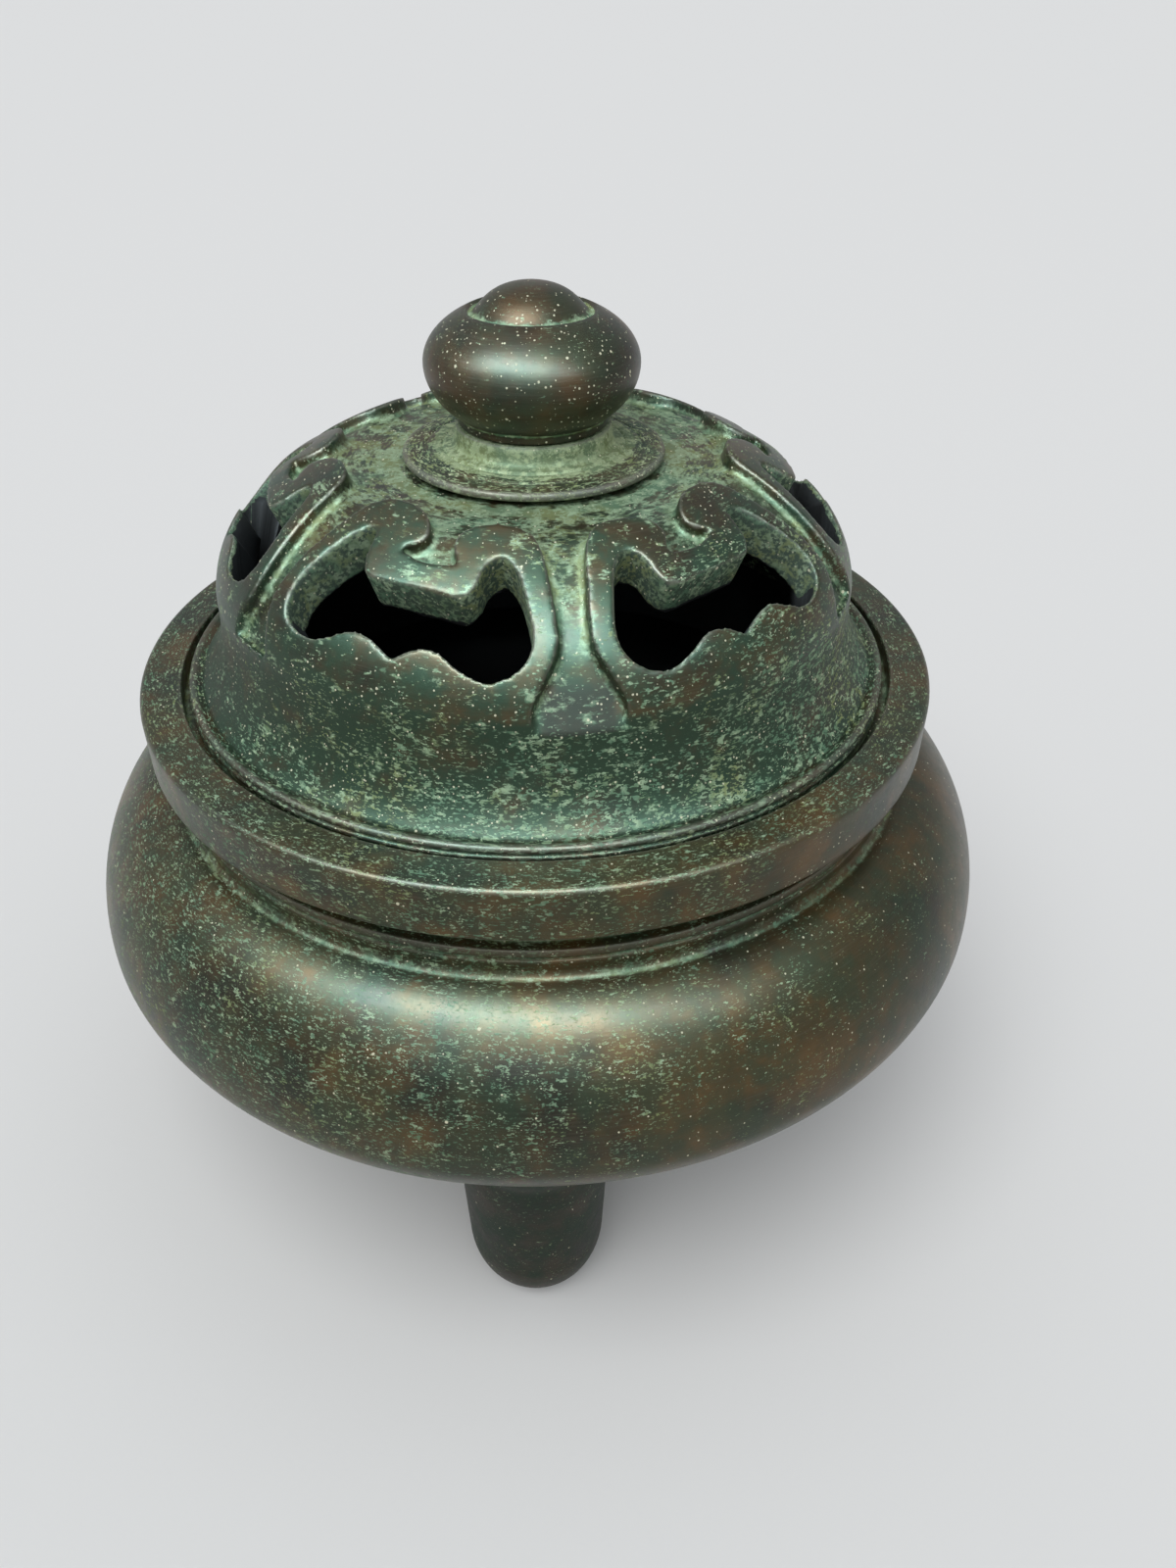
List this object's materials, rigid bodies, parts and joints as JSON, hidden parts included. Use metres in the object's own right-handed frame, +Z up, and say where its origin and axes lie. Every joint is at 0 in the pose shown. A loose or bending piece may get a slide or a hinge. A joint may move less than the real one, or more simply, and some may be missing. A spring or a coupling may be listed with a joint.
{
  "type": "tripod incense burner",
  "caption": "Squat round cast-bronze incense burner on three tapered feet, with a pierced domed lid of raised cloud panels and a ball knob.",
  "frame": {"origin": "on the bowl's axis, at the level of the foot soles", "axes": "+Z up along the bowl's axis; -Y towards the front foot; +X to the right seen from the front"},
  "size_m": [0.1202, 0.1202, 0.1161],
  "materials": {
    "bowl_bronze": "dark brown patinated bronze, satin, with fine green speckle",
    "foot_bronze": "dark patinated bronze, satin",
    "lid_bronze": "brown bronze with pale green patina in the recesses",
    "collar_bronze": "bronze with a matt yellow-green patina",
    "knob_bronze": "red-brown polished bronze with pale speckle",
    "fastener_brass": "dull machined brass"
  },
  "bodies": {
    "bowl": {"bowl": "bowl_bronze", "foot_front": "foot_bronze", "foot_rear_right": "foot_bronze", "foot_rear_left": "foot_bronze"},
    "lid": {"lid": "lid_bronze", "knob_collar": "collar_bronze", "knob": "knob_bronze", "knob_stud": "fastener_brass", "knob_washer": "fastener_brass", "knob_nut": "fastener_brass"}
  },
  "joints": [
    {"name": "lid_lift", "type": "slide", "parent": "bowl", "child": "lid", "axis": [0, 0, 1], "range_m": [0, 0.06]}
  ]
}
